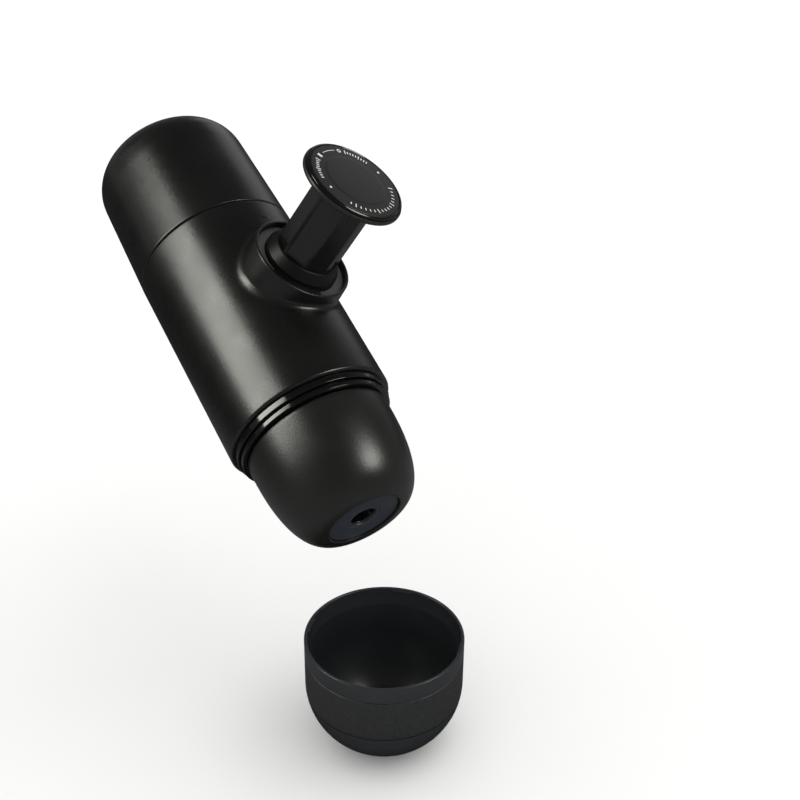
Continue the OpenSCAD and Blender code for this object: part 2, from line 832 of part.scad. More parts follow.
module spout_nozzle() {
    bell = 5;
    flange_t = 1.2;
    color("#101113") in_hand() difference() {
        union() {
            bar(spout_r + nozzle_wall, nozzle_top, outlet_plate_z);
            bar(outlet_plate_r - outlet_ledge - face_gap, outlet_plate_z - flange_t, outlet_plate_z);
        }
        bar(nozzle_throat_r, nozzle_top - over, outlet_plate_z);
        bar(spout_r, outlet_plate_z - bell, outlet_plate_z + over);
    }
}

module outlet_funnel() {
    rim_z = dome_neck_end;
    foot_r = nozzle_throat_r + 0.6;
    rim_in_r = funnel_rim_r - 1.6;
    color("#2c2e30") in_hand() rotate_extrude() polygon([
        [rim_in_r, rim_z], [funnel_rim_r, rim_z], [funnel_rim_r, rim_z + funnel_t],
        [rim_in_r, rim_z + 1.3 * funnel_t], [foot_r + funnel_t, nozzle_top], [foot_r, nozzle_top],
        [rim_in_r - funnel_t, rim_z + funnel_t]]);
}

module filter_basket() {
    top = basket_z;
    foot = top + basket_depth;
    r = basket_d / 2;
    color("#b9bbbd") in_hand() difference() {
        union() {
            bar(rim_seat_r - seat_fit, top, top + basket_rim_t);
            bar(r, top, foot);
        }
        bar(r - basket_wall, top - over, foot - basket_foot_t);
        bar(r - basket_wall - basket_ledge, top - over, foot + over);
    }
}

module basket_screen() {
    floor_z = basket_z + basket_depth - basket_foot_t;
    r = basket_d / 2 - basket_wall - press_fit;
    color("#c4c6c8") in_hand() difference() {
        bar(r, floor_z - screen_t, floor_z);
        screen_holes(screen_hole_d / 2, basket_pitch, floor_z - screen_t, floor_z, false);
    }
}

// ---- cup ----

module cup_shell() {
    rim_round = 0.45;
    foot_edge = 0.4;
    floor_z = foot_h + cup_floor_t;
    color("#28292b") on_table() {
        rotate_extrude() polygon(concat(
            [[0, 0], [foot_d / 2 - foot_edge, 0], [foot_d / 2, foot_edge], [foot_d / 2, foot_h]],
            cup_outline(foot_h, sleeve_foot, 0),
            [[cup_at(sleeve_foot) - sleeve_t, sleeve_foot]],
            cup_outline(sleeve_foot, sleeve_top, sleeve_t),
            [[cup_r, sleeve_top]],
            arc(cup_r - rim_round, cup_h - rim_round, rim_round, 0, 90),
            arc(cup_r - cup_wall + rim_round, cup_h - rim_round, rim_round, 90, 180),
            [[cup_r - cup_wall, sleeve_top + cup_wall]],
            cup_outline(sleeve_top, floor_z + cup_floor_rise, cup_wall + sleeve_t),
            [[0, floor_z]]));
        for (i = [0 : snap_count - 1])
            ring_sector(cup_r - cup_wall / 2, cup_r - cup_wall - snap_reach,
                        cup_h - rim_round - snap_t, cup_h - rim_round,
                        45 + i * 360 / snap_count, snap_span);
    }
}

module cup_sleeve() {
    glue = 0.05;
    color("#242527") on_table() rotate_extrude() polygon(concat(
        cup_outline(sleeve_foot + line_w, sleeve_top - line_w, 0),
        cup_outline(sleeve_top - line_w, sleeve_foot + line_w, sleeve_t - glue)));
}

body_shell();
boss_plate();
tank_bulkhead();
group_head();
bulkhead_screws();
inlet_strainer();
pump_housing();
pump_cylinder();
inlet_valve();
outlet_valve();
shower_screen();
screen_screw();
group_seal();
lock_collar();
piston_shaft();
piston_knob();
knob_cap();
knob_screw();
plunger_rod();
piston_seal();
return_spring();
tank_seal();
tank_shell();
head_seal();
head_ring();
head_dome();
outlet_plate();
spout_nozzle();
outlet_funnel();
filter_basket();
basket_screen();
cup_shell();
cup_sleeve();
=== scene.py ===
"""Looks of the handheld manual espresso maker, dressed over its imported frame.

The maker's pieces are drawn on its own axes in millimetres: Z runs down the barrel from the water tank
to the outlet, X runs out along the hand piston. They are then turned to the pouring pose.
The cup is drawn upright and stood on the table.
"""
from math import acos, atan2, cos, degrees, hypot, pi, radians, sin, sqrt, tan

import bpy
from mathutils import Matrix, Vector


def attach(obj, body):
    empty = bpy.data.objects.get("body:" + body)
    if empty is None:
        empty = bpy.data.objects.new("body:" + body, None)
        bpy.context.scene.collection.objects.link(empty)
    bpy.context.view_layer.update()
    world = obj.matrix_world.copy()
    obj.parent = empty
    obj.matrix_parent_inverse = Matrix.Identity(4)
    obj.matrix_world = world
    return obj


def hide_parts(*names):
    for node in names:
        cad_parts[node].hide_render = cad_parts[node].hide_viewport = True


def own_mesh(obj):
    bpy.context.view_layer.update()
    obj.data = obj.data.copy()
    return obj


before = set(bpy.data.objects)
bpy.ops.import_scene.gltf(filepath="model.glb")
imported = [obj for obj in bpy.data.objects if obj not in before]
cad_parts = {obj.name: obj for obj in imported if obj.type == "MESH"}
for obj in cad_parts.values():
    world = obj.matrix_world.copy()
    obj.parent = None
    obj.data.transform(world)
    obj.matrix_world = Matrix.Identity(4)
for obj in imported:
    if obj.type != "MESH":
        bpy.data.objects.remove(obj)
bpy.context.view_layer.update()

MM = 0.001
MAKER = Matrix.Rotation(radians(117.5), 4, "Y") @ Matrix.Rotation(radians(161), 4, "Z")
TABLE = Matrix.Translation((0.0645, 0.0145, -0.146))

# ---- sizes, in millimetres: R is a radius from the piece's own axis, the rest are places along it ----

BARREL_R, BORE_R, MOUTH_R = 30, 27.6, 27
SEAM, BARREL_END, MOUTH = -33, 45, 33
BOSS_R, BOSS_RIM_IN, BOSS_BORE = 18, 16.9, 15.4
BOSS_TOP, BOSS_SEAT, ANNULUS_TOP = 35, 28.7, 32.9
BOSS_FLARE, BLEND = tan(radians(3)), 2          # how the boss widens towards the barrel, and its fillet there
TANK_L, TANK_WALL, TANK_CORNER, TANK_CROWN = 55, 2.2, 13, 90
TANK_DRAFT, TANK_GAP = radians(1.8), 0.3
TANK_NECK, TANK_GROOVE = 26.48, 27.43           # inside the tank's mouth, and the groove of its seal
SPIGOT_R, SPIGOT_IN = 26.4, 23.5
VALVE_X = -20                                   # both duckbills stand beside the pump
NECK_R, CREST_R, NECK_GROOVE = 26.1, 26.92, 25.57
UPPER_BAND, LOWER_BAND = (45.2, 47.5, 28.6), (48.1, 49.8, 27.8)     # low edge, high edge, radius
DOME_START, DOME_NECK, DOME_END, DOME_R, FACE_R = 50.4, 56.4, 85, 26.2, 14.1
DOME_ALONG, DOME_ACROSS = 2.55, 2.1             # powers of the dome's superellipse
PLATE_Z, PLATE_R, SPOUT_R = 83, 13, 4.6
SHAFT_R, FLAT_AT, SHAFT_BORE = 11, 10.445, 9.4
FLATS, FIRST_FLAT = 8, 30                       # how many flats, and the first one's angle
COLLAR_R, COLLAR_FOOT, NOSE_TOP = 13.5, 25.7, 38.7
LUG_IN, LUG_R, LUG_FOOT, LUG_TOP = 12.6, 16.5, 33.2, 34.2
LUG_SPAN, LUG_TURN = 70, 144                    # degrees round the piston
KNOB_R, KNOB_FOOT, KNOB_IN, KNOB_STEP, KNOB_TOP = 18.3, 66.7, 69.5, 70.3, 71.3
INK_LOW, INK_TOP, INK_R = 71.25, 71.33, 14.1    # the printed marks on the knob's face
CUP_R, CUP_H, BOWL_H, BOWL_DEPTH = 29.2, 44.5, 25, 28
SLEEVE_LOW, SLEEVE_TOP = 20.7, 38

FULL, HALF_TURN = 2 * pi, Matrix.Rotation(pi, 4, "Z")


def arc(x, z, r, start, end, count=8):
    """Points along a round, from one angle to another in degrees."""
    return [(x + r * cos(radians(start + (end - start) * i / count)),
             z + r * sin(radians(start + (end - start) * i / count))) for i in range(count + 1)]


# ---- how a piece is made ----

def alone(obj=None):
    """Leaves everything unselected, or just this one object selected and active."""
    bpy.ops.object.select_all(action="DESELECT")
    if obj:
        obj.select_set(True)
        bpy.context.view_layer.objects.active = obj
    return obj


def pick_faces(obj, test):
    """Selects in edit mode the faces whose middle passes the test, and nothing else."""
    alone(obj)
    bpy.ops.object.mode_set(mode="EDIT")
    bpy.ops.mesh.select_mode(type="FACE")
    bpy.ops.mesh.select_all(action="DESELECT")
    bpy.ops.object.mode_set(mode="OBJECT")
    for face in obj.data.polygons:
        face.select = test(face.center / MM)
    bpy.ops.object.mode_set(mode="EDIT")


def turned(name, outline, steps=128, about="Z", span=FULL, start=0.0):
    """Draws an outline of (radius, station) points and spins it about the barrel's axis or the piston's.
    A piece that spans less than a full turn begins at the start angle."""
    def at(point):
        r, s = point
        return Vector((r, 0, s) if about == "Z" else (s, 0, r)) * MM
    alone()
    bpy.ops.mesh.primitive_plane_add(size=MM, location=at(outline[0]))
    obj = bpy.context.object
    obj.name = obj.data.name = name
    bpy.ops.object.mode_set(mode="EDIT")
    bpy.ops.mesh.select_mode(type="VERT")
    bpy.ops.mesh.merge(type="CENTER")
    for here, there in zip(outline, outline[1:]):
        bpy.ops.mesh.extrude_region_move(TRANSFORM_OT_translate={"value": at(there) - at(here)})
    axis = (0, 0, 1) if about == "Z" else (1, 0, 0)
    bpy.ops.mesh.select_all(action="SELECT")
    bpy.ops.mesh.spin(steps=steps, angle=span, center=(0, 0, 0), axis=axis)
    bpy.ops.mesh.select_all(action="SELECT")
    bpy.ops.mesh.remove_doubles(threshold=0.002 * MM)
    if span < FULL:
        bpy.ops.mesh.select_all(action="DESELECT")
        bpy.ops.mesh.select_non_manifold()
        bpy.ops.mesh.edge_face_add()
        bpy.ops.mesh.select_all(action="SELECT")
    bpy.ops.mesh.normals_make_consistent(inside=False)
    bpy.ops.object.mode_set(mode="OBJECT")
    bpy.ops.object.transform_apply(location=True, rotation=True, scale=True)
    if span < FULL:
        # With no window the spin runs backwards, so the piece is turned on by its own span.
        obj.data.transform(Matrix.Rotation(start + span, 4, Vector(axis)))
    return obj


def modified(obj, kind, **settings):
    """Puts one modifier on the piece and applies it."""
    alone(obj)
    bpy.ops.object.modifier_add(type=kind)
    made = obj.modifiers[-1]
    for name, value in settings.items():
        setattr(made, name, value)
    bpy.ops.object.modifier_apply(modifier=made.name)
    return obj


def eased(obj, width, segments=2):
    """Rounds the piece's sharp edges."""
    return modified(obj, "BEVEL", width=width * MM, segments=segments, limit_method="ANGLE",
                    angle_limit=radians(40), use_clamp_overlap=True)


def cut(obj, *tools):
    """Cuts the tools out of the piece and clears them away."""
    for tool in tools:
        modified(obj, "BOOLEAN", operation="DIFFERENCE", object=tool, solver="EXACT")
        bpy.data.objects.remove(tool)
    return obj


def joined(obj, *others):
    """Makes the others part of the first piece's mesh."""
    alone(obj)
    for other in others:
        other.select_set(True)
    bpy.ops.object.join()
    return obj


def copied(obj, matrix):
    """A copy with its own mesh, moved by the matrix."""
    twin = obj.copy()
    twin.data = obj.data.copy()
    twin.data.transform(matrix)
    bpy.context.scene.collection.objects.link(twin)
    return twin


def rod(radius, low, high, x, y):
    """A plain round cutter along the barrel's axis."""
    alone()
    bpy.ops.mesh.primitive_cylinder_add(vertices=32, radius=radius * MM, depth=(high - low) * MM,
                                        location=Vector((x, y, (low + high) / 2)) * MM)
    bpy.ops.object.transform_apply(location=True, rotation=True, scale=True)
    return bpy.context.object


def done(obj, finish, slot, body, *nodes, place=MAKER, angle=32):
    """Sets a finished piece in its place, gives it its material and lets it ride on its body."""
    alone(obj)
    bpy.ops.object.shade_smooth_by_angle(angle=radians(angle))
    obj.data.transform(place)
    obj.data.materials.clear()
    obj.data.materials.append(finish)
    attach(obj, body)
    if nodes:
        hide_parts(*nodes)
    return obj


# ---- materials ----

def colour(code):
    """An sRGB hex value as linear red, green, blue and alpha."""
    parts = [int(code[i:i + 2], 16) / 255 for i in (1, 3, 5)]
    return [c / 12.92 if c <= 0.04045 else ((c + 0.055) / 1.055) ** 2.4 for c in parts] + [1]


def add(tree, kind, inputs=(), **settings):
    """Adds one node with its settings, its fixed inputs and the sockets that feed it."""
    made = tree.nodes.new(kind)
    for name, value in settings.items():
        setattr(made, name, value)
    for name, value in dict(inputs).items():
        if isinstance(value, bpy.types.NodeSocket):
            tree.links.new(value, made.inputs[name])
        else:
            made.inputs[name].default_value = value
    return made


def material(name, inputs=()):
    """A new material with its shader. Returns the material, its tree, its shader and the piece's own
    coordinates."""
    made = bpy.data.materials.new(name)
    made.use_nodes = True
    tree = made.node_tree
    tree.nodes.clear()
    shader = add(tree, "ShaderNodeBsdfPrincipled", inputs)
    add(tree, "ShaderNodeOutputMaterial", {"Surface": shader.outputs[0]})
    place = add(tree, "ShaderNodeTexCoord").outputs["Object"]
    return made, tree, shader, place


def per_mm(size):
    """A pattern's scale on coordinates in metres, from its real size in millimetres."""
    return 1000 / size


def mixed(tree, share, dark, light):
    """A shade between two, by a share from 0 to 1."""
    made = add(tree, "ShaderNodeMix", {0: share, 6: colour(dark), 7: colour(light)}, data_type="RGBA")
    return made.outputs[2]


def finished(made, tree, shader, shade, sheen, relief):
    """Joins the colour, the roughness and the relief to the shader."""
    tree.links.new(shade, shader.inputs["Base Color"])
    tree.links.new(sheen.outputs[0], shader.inputs["Roughness"])
    tree.links.new(relief.outputs[0], shader.inputs["Normal"])
    return made


def grained(name, dark, light, rough, grain, depth, **inputs):
    """A moulded plastic: two close shades that drift like handled plastic in patches of 14 mm, and a
    spark-eroded grain whose size and depth are in millimetres."""
    made, tree, shader, place = material(name, inputs)
    drift = add(tree, "ShaderNodeTexNoise", {"Vector": place, "Scale": per_mm(14), "Detail": 4.0})
    shade = mixed(tree, drift.outputs[0], dark, light)
    sheen = add(tree, "ShaderNodeMapRange",
                {0: drift.outputs[0], 1: 0.3, 2: 0.7, 3: rough - 0.03, 4: rough + 0.03})
    pits = add(tree, "ShaderNodeTexNoise",
               {"Vector": place, "Scale": per_mm(grain), "Detail": 2.0, "Roughness": 0.6})
    relief = add(tree, "ShaderNodeBump", {"Height": pits.outputs[0], "Distance": depth * MM, "Strength": 1.0})
    return finished(made, tree, shader, shade, sheen, relief)


def turned_metal(name, dark, light, rough, groove, depth):
    """Stainless steel off the lathe or the press: fine marks one groove width apart that draw its
    highlights out, with slight changes in polish in clouds of 9 mm."""
    made, tree, shader, place = material(name, {"Metallic": 1.0})
    marks = add(tree, "ShaderNodeTexNoise", {"Vector": place, "Scale": per_mm(groove), "Detail": 3.0})
    cloud = add(tree, "ShaderNodeTexNoise", {"Vector": place, "Scale": per_mm(9), "Detail": 3.0})
    shade = mixed(tree, cloud.outputs[0], dark, light)
    polish = add(tree, "ShaderNodeMapRange",
                 {0: marks.outputs[0], 1: 0.3, 2: 0.7, 3: rough - 0.06, 4: rough + 0.06})
    relief = add(tree, "ShaderNodeBump", {"Height": marks.outputs[0], "Distance": depth * MM})
    return finished(made, tree, shader, shade, polish, relief)


# Moulded ABS with a spark-eroded satin skin: near black, broad soft highlights broken up by a fine grain.
# The real grain is about 0.1 mm, which is a third of a pixel, so it is drawn at 0.6 mm.
satin_abs = grained("satin_black_abs", "#0c0c0b", "#10100f", 0.28, 0.6, 0.035, IOR=1.54)
# The outlet dome is the same plastic from another mould, a touch greyer.
dome_abs = grained("dome_black_abs", "#131312", "#181816", 0.31, 0.6, 0.035, IOR=1.54)
# Polished ABS: a deep black that mirrors the lights with crisp edges and the faint ripple of a moulding.
gloss_abs = grained("gloss_black_abs", "#080808", "#0c0c0c", 0.12, 2.5, 0.006, IOR=1.54)
# The lock collar is the same black as it leaves the mould: dull, so that it sinks into the boss's shade.
dull_abs = grained("dull_black_abs", "#070707", "#0b0b0b", 0.42, 0.8, 0.02,
                   **{"IOR": 1.54, "Specular IOR Level": 0.25})
# The shaft's glass-filled nylon: dark, with a faint blue cast and a half-gloss skin.
shaft_nylon = grained("shaft_black_nylon", "#0b0b0d", "#111114", 0.16, 1.2, 0.004, IOR=1.62)
# The knob's plastic is a fine matt grey-black that lifts under the key light.
knob_abs = grained("knob_grey_abs", "#171716", "#1c1c1b", 0.40, 0.6, 0.04, IOR=1.5)
# The annulus inside the boss: the same family, flatter and a little lighter.
plate_abs = grained("boss_plate_abs", "#464645", "#4e4e4c", 0.50, 0.5, 0.04, IOR=1.5)
# Glass-filled polypropylene of the inner mouldings: dark grey, dull, with a faint fibre mottle.
inner_pp = grained("inner_grey_polypropylene", "#26282a", "#313335", 0.48, 0.8, 0.015, IOR=1.49)
# The outlet plate: a blue-black food-safe plastic with a satin face.
plate_blue = grained("outlet_blue_black_plastic", "#262a30", "#2d3138", 0.38, 0.5, 0.02, IOR=1.5)
# The cup: charcoal polypropylene, smooth and half-matt.
cup_pp = grained("cup_charcoal_polypropylene", "#232527", "#2a2c2e", 0.32, 0.6, 0.02, IOR=1.49)
# Silicone duckbills: milky, soft, slightly dusty.
silicone = grained("milky_silicone", "#bdb8ab", "#cfcabd", 0.55, 0.6, 0.006, IOR=1.41)
# Seals of red-brown silicone rubber, matt with a fine mould grain.
seal_rubber = grained("red_brown_seal_rubber", "#64331f", "#743f2f", 0.60, 0.35, 0.010, IOR=1.43)
# Pad-printed white ink, slightly chalky.
white_ink = grained("white_pad_print", "#d2d2cf", "#e4e4e1", 0.55, 0.3, 0.004, IOR=1.5)
# 304 stainless, turned and pressed.
steel = turned_metal("turned_stainless_304", "#a9abad", "#bfc1c3", 0.28, 0.25, 0.004)


def leather_grain():
    """The cup's sleeve: rubber moulded with a leather grain, small irregular pebbles about 0.75 mm across
    with sharp valleys between them, which catch the light as a fine broken sheen. The valleys are coloured
    darker than the pebble tops: painted shade."""
    made, tree, shader, place = material("leather_grain_rubber", {"IOR": 1.5})
    warp = add(tree, "ShaderNodeTexNoise", {"Vector": place, "Scale": per_mm(2.2), "Detail": 3.0})
    push = add(tree, "ShaderNodeVectorMath", {0: warp.outputs[1], "Scale": 0.7 * MM}, operation="SCALE")
    bent = add(tree, "ShaderNodeVectorMath", {0: place, 1: push.outputs[0]}, operation="ADD")
    pebble = add(tree, "ShaderNodeTexVoronoi", {"Vector": bent.outputs[0], "Scale": per_mm(0.75)},
                 feature="SMOOTH_F1")
    fine = add(tree, "ShaderNodeTexNoise", {"Vector": place, "Scale": per_mm(0.3), "Detail": 2.0})
    height = add(tree, "ShaderNodeMath", {0: pebble.outputs[0], 1: fine.outputs[0]}, operation="SUBTRACT")
    relief = add(tree, "ShaderNodeBump", {"Height": height.outputs[0], "Distance": 0.05 * MM}, invert=True)
    # Painted shade: the colour darkens from the pebble tops down into the valleys between them.
    shade = mixed(tree, pebble.outputs[0], "#2a2b2d", "#1b1c1d")
    sheen = add(tree, "ShaderNodeMapRange", {0: pebble.outputs[0], 1: 0.0, 2: 0.8, 3: 0.42, 4: 0.6})
    return finished(made, tree, shader, shade, sheen, relief)


sleeve_rubber = leather_grain()

# ---- water tank ----

def tank_profile(inset):
    """The closed end of the tank from its wall to its axis, as radius against distance from its mouth."""
    r, big, length = TANK_CORNER - inset, TANK_CROWN - inset, TANK_L - inset
    foot = length - r
    x = BARREL_R - inset - foot * tan(TANK_DRAFT) - r / cos(TANK_DRAFT)
    top = length - big + sqrt((big - r) ** 2 - x * x)
    meet = degrees(acos(x / (big - r)))
    return arc(x, top, r, degrees(TANK_DRAFT), meet, 24) + arc(0, length - big, big, meet, 90, 10)[1:]


def tank_wall(distance):
    """The tank's tapered outside at a distance from its mouth."""
    return BARREL_R - distance * tan(TANK_DRAFT), distance


outside = [(29.65, 0), (29.72, 0.05), (29.95, 0.28), (30, 0.4)] + \
    [tank_wall(distance) for distance in (0.8, 12, 24, 36, 40.5)] + tank_profile(0)
seal_groove = [(TANK_NECK, 3.6), (TANK_GROOVE, 3.6), (TANK_GROOVE, 5.3), (TANK_NECK, 5.3)]
inside = [(26.7, 0), (TANK_NECK, 0.25)] + seal_groove + \
    [(TANK_NECK, 9), (24.9, 9), (24.9, 11), (25.6, 13.2)] + tank_profile(TANK_WALL)
tank = turned("water_tank", [(r, SEAM - TANK_GAP - d) for r, d in list(reversed(outside)) + inside])
done(tank, satin_abs, "satin_black", "tank", "tank_shell")

# ---- barrel with its blended boss ----

STEPS = 128                                     # round the barrel
WINDOW, PITCH = 20, 1.2                         # half the boss's window in steps, and a step along the barrel
rings = [PITCH * i for i in range(-WINDOW, WINDOW + 1)]
barrel_line = [(BORE_R, SEAM), (29.6, SEAM), (29.7, SEAM + 0.03), (29.97, SEAM + 0.3), (30, SEAM + 0.4)] + \
    [(BARREL_R, z) for z in [SEAM + 0.8] + rings + [BARREL_END - 1.3]] + \
    arc(BARREL_R - 0.9, BARREL_END - 0.9, 0.9, 0, 90) + \
    [(MOUTH_R + 0.3, BARREL_END), (MOUTH_R, BARREL_END - 0.3), (MOUTH_R, MOUTH), (BORE_R, MOUTH)] + \
    [(BORE_R, z) for z in reversed(rings)] + [(BORE_R, SEAM)]
barrel = turned("barrel", barrel_line, STEPS)


def round_height(r, t, wall):
    """Height above the barrel's axis where a circle round the piston meets a wall of the barrel."""
    return sqrt(wall * wall - (r * sin(t)) ** 2)


def boss_wall(height):
    """The boss's outside radius at a height above the barrel's axis."""
    return BOSS_R + (BOSS_TOP - height) * BOSS_FLARE


ROWS = 12                                       # rows of faces over the blend
ROOT, SKIRT = 200, 300                          # rows drawn far out first, then set down on the barrel
boss_line = [(BOSS_BORE, ROOT), (BOSS_BORE, BOSS_SEAT), (BOSS_RIM_IN, BOSS_SEAT)] + \
    [(BOSS_RIM_IN, BOSS_TOP - 0.3)] + arc(BOSS_RIM_IN + 0.3, BOSS_TOP - 0.3, 0.3, 180, 90, 3)[1:] + \
    arc(BOSS_R - 0.4, BOSS_TOP - 0.4, 0.4, 90, 3, 5) + [(BOSS_R + 0.04, BOSS_TOP - 0.8)] + \
    [(BOSS_R + row, SKIRT + row) for row in range(ROWS + 1)]
boss = turned("boss", boss_line, 8 * WINDOW, about="X")
for vertex in boss.data.vertices:
    height, t = vertex.co.x / MM, atan2(vertex.co.y, -vertex.co.z)
    if abs(height - ROOT) < 0.5:
        r, height = BOSS_BORE, round_height(BOSS_BORE, t, BORE_R)
    elif height > SKIRT - 0.5:
        s = 1 - (height - SKIRT) / ROWS
        wall_r = boss_wall(round_height(BOSS_R, t, BARREL_R))
        foot_r = wall_r + BLEND
        low = round_height(foot_r, t, BARREL_R)
        high = min(round_height(wall_r, t, BARREL_R) + BLEND, BOSS_TOP - 1)
        top_r = boss_wall(high)
        knee = low + (foot_r - top_r) * foot_r * sin(t) ** 2 / low
        r = (1 - s) ** 2 * foot_r + (1 - (1 - s) ** 2) * top_r
        height = (1 - s) ** 2 * low + 2 * s * (1 - s) * knee + s * s * high
    else:
        continue
    vertex.co = Vector((height, r * sin(t), -r * cos(t))) * MM


def in_window(at, wall):
    """Whether a point is on the patch of a wall that makes way for the boss."""
    return abs(hypot(at.x, at.y) - wall) < 0.5 and abs(at.z) < WINDOW * PITCH and \
        abs(atan2(at.y, at.x)) < FULL / STEPS * WINDOW


def open_edges():
    """Selects the edges that have a face on one side only."""
    bpy.ops.mesh.select_mode(type="EDGE")
    bpy.ops.mesh.select_all(action="DESELECT")
    bpy.ops.mesh.select_non_manifold(use_wire=False, use_multi_face=False, use_non_contiguous=False,
                                     use_verts=False)


pick_faces(barrel, lambda at: in_window(at, BARREL_R) or in_window(at, BORE_R))
bpy.ops.mesh.delete(type="FACE")
bpy.ops.object.mode_set(mode="OBJECT")
barrel = joined(barrel, boss)
# The boss is bridged to the edge of the window, outside and in, and the bridge is laid on the wall.
for wall, low, high in ((BARREL_R, 28.5, 30.5), (BORE_R, 27.0, 27.8)):
    alone(barrel)
    bpy.ops.object.mode_set(mode="EDIT")
    open_edges()
    bpy.ops.object.mode_set(mode="OBJECT")
    for edge in barrel.data.edges:
        a, b = (barrel.data.vertices[i].co / MM for i in edge.vertices)
        edge.select = edge.select and low < hypot((a.x + b.x) / 2, (a.y + b.y) / 2) < high
    for vertex in barrel.data.vertices:
        vertex.select = False
    bpy.ops.object.mode_set(mode="EDIT")
    bpy.ops.mesh.bridge_edge_loops(number_cuts=6, interpolation="LINEAR")
    bpy.ops.object.mode_set(mode="OBJECT")
    clear = BOSS_R + BLEND if wall == BARREL_R else BOSS_BORE - 0.01
    for vertex in barrel.data.vertices:
        x, y, z = vertex.co / MM
        from_axis = hypot(x, y)
        on_wall = wall - 1.5 < from_axis < wall + 0.001
        if on_wall and x > 0 and abs(z) < WINDOW * PITCH + 0.1 and hypot(y, z) > clear:
            vertex.co.x, vertex.co.y = x * wall / from_axis * MM, y * wall / from_axis * MM
alone(barrel)
bpy.ops.object.mode_set(mode="EDIT")
bpy.ops.mesh.select_all(action="SELECT")
bpy.ops.mesh.normals_make_consistent(inside=False)
bpy.ops.object.mode_set(mode="OBJECT")
done(barrel, satin_abs, "satin_black", "barrel", "body_shell")


def laid_on_barrel(obj):
    """Bends a flat sign, drawn at the barrel's crest, down on to the barrel's wall."""
    for vertex in obj.data.vertices:
        vertex.co.x += sqrt(BARREL_R ** 2 - (vertex.co.y / MM) ** 2) * MM - BARREL_R * MM
    return obj


# The arrow beside the boss that shows which way the tank locks: a stem and a head. It is pressed into the
# barrel, and the shade in its hollow is painted as a thin raised piece of darker gloss black.
ARROW_Z, ARROW_TURN = -24.6, radians(-15)
STEM_L, STEM_WIDE, PAINTED_SHADE_THICK = 2.6, 0.42, 0.06
HEAD_Y, HEAD_R = -1.3, 0.95
alone()
bpy.ops.mesh.primitive_cube_add(size=MM, location=(BARREL_R * MM, 0.3 * MM, 0))
stem = bpy.context.object
bpy.ops.transform.resize(value=(PAINTED_SHADE_THICK, STEM_L, STEM_WIDE))
bpy.ops.object.transform_apply(location=True, rotation=True, scale=True)
alone()
bpy.ops.mesh.primitive_cylinder_add(vertices=3, radius=HEAD_R * MM, depth=PAINTED_SHADE_THICK * MM,
                                    rotation=(0, pi / 2, 0), location=(BARREL_R * MM, HEAD_Y * MM, 0))
head = bpy.context.object
bpy.ops.object.transform_apply(location=True, rotation=True, scale=True)
head.data.transform(Matrix.Translation((0, HEAD_Y * MM, 0)) @ Matrix.Rotation(radians(-90), 4, "X")
                    @ Matrix.Translation((0, -HEAD_Y * MM, 0)))
arrow = joined(stem, head)
arrow.name = "lock_arrow"
alone(arrow)
bpy.ops.object.mode_set(mode="EDIT")
bpy.ops.mesh.select_all(action="SELECT")
bpy.ops.mesh.subdivide(number_cuts=3)
bpy.ops.object.mode_set(mode="OBJECT")
arrow.data.transform(Matrix.Translation((0.01 * MM, 0, ARROW_Z * MM)) @ Matrix.Rotation(ARROW_TURN, 4, "X"))
# The raised arrow's darker gloss black is painted shade for the pressed-in mark.
done(laid_on_barrel(arrow), gloss_abs, "satin_black", "barrel")

# ---- inside of the barrel ----

spigot_line = [(0, SEAM), (SPIGOT_IN, SEAM), (SPIGOT_IN, SEAM - 8), (25.3, SEAM - 8), (25.7, SEAM - 7.4),
               (25.7, SEAM), (27.5, SEAM), (27.5, SEAM + 6), (0, SEAM + 6)]
bulkhead = turned("tank_bulkhead_wall", spigot_line)
eased(bulkhead, 0.15)
screw_holes = [rod(1.25, SEAM - 1, SEAM + 7, x, y) for x in (-7, 7) for y in (-18.6, 18.6)]
cut(bulkhead, *screw_holes, rod(1.6, SEAM - 1, SEAM + 7, VALVE_X, 0))


def thread(name, core, crest, low, high, lead):
    """One start of a trapezoid thread, wound along the barrel's axis."""
    turns = (high - low) / lead
    half = lead / 8
    alone()
    bpy.ops.mesh.primitive_plane_add(size=MM, location=(core * MM, 0, low * MM))
    obj = bpy.context.object
    obj.name = name
    bpy.ops.object.mode_set(mode="EDIT")
    bpy.ops.mesh.select_mode(type="VERT")
    bpy.ops.mesh.merge(type="CENTER")
    for out, along in ((crest - core, half * 0.5), (0, half), (core - crest, half * 0.5), (0, -2 * half)):
        bpy.ops.mesh.extrude_region_move(TRANSFORM_OT_translate={"value": (out * MM, 0, along * MM)})
    bpy.ops.mesh.select_all(action="SELECT")
    bpy.ops.mesh.remove_doubles(threshold=0.002 * MM)
    bpy.ops.object.mode_set(mode="OBJECT")
    bpy.ops.object.transform_apply(location=True)
    steps = int(96 * turns)
    modified(obj, "SCREW", angle=FULL * turns, screw_offset=(high - low) * MM, steps=steps,
             render_steps=steps)
    alone(obj)
    bpy.ops.object.mode_set(mode="EDIT")
    open_edges()
    bpy.ops.mesh.fill_holes(sides=0)
    bpy.ops.mesh.select_all(action="SELECT")
    bpy.ops.mesh.normals_make_consistent(inside=False)
    bpy.ops.object.mode_set(mode="OBJECT")
    return obj


spigot_start = thread("spigot_start", 25.5, SPIGOT_R, SEAM - 6.8, SEAM - 1.6, 6)
joined(bulkhead, spigot_start, copied(spigot_start, HALF_TURN))
done(bulkhead, inner_pp, "inner_plastic", "barrel", "tank_bulkhead")


def seal_ring(name, r_in, r_out, low, high, about="Z"):
    """A square-cut rubber ring with soft corners."""
    ring = turned(name, [(r_in, low), (r_out, low), (r_out, high), (r_in, high), (r_in, low)], 96, about)
    return eased(ring, 0.3 * min(r_out - r_in, high - low), 3)


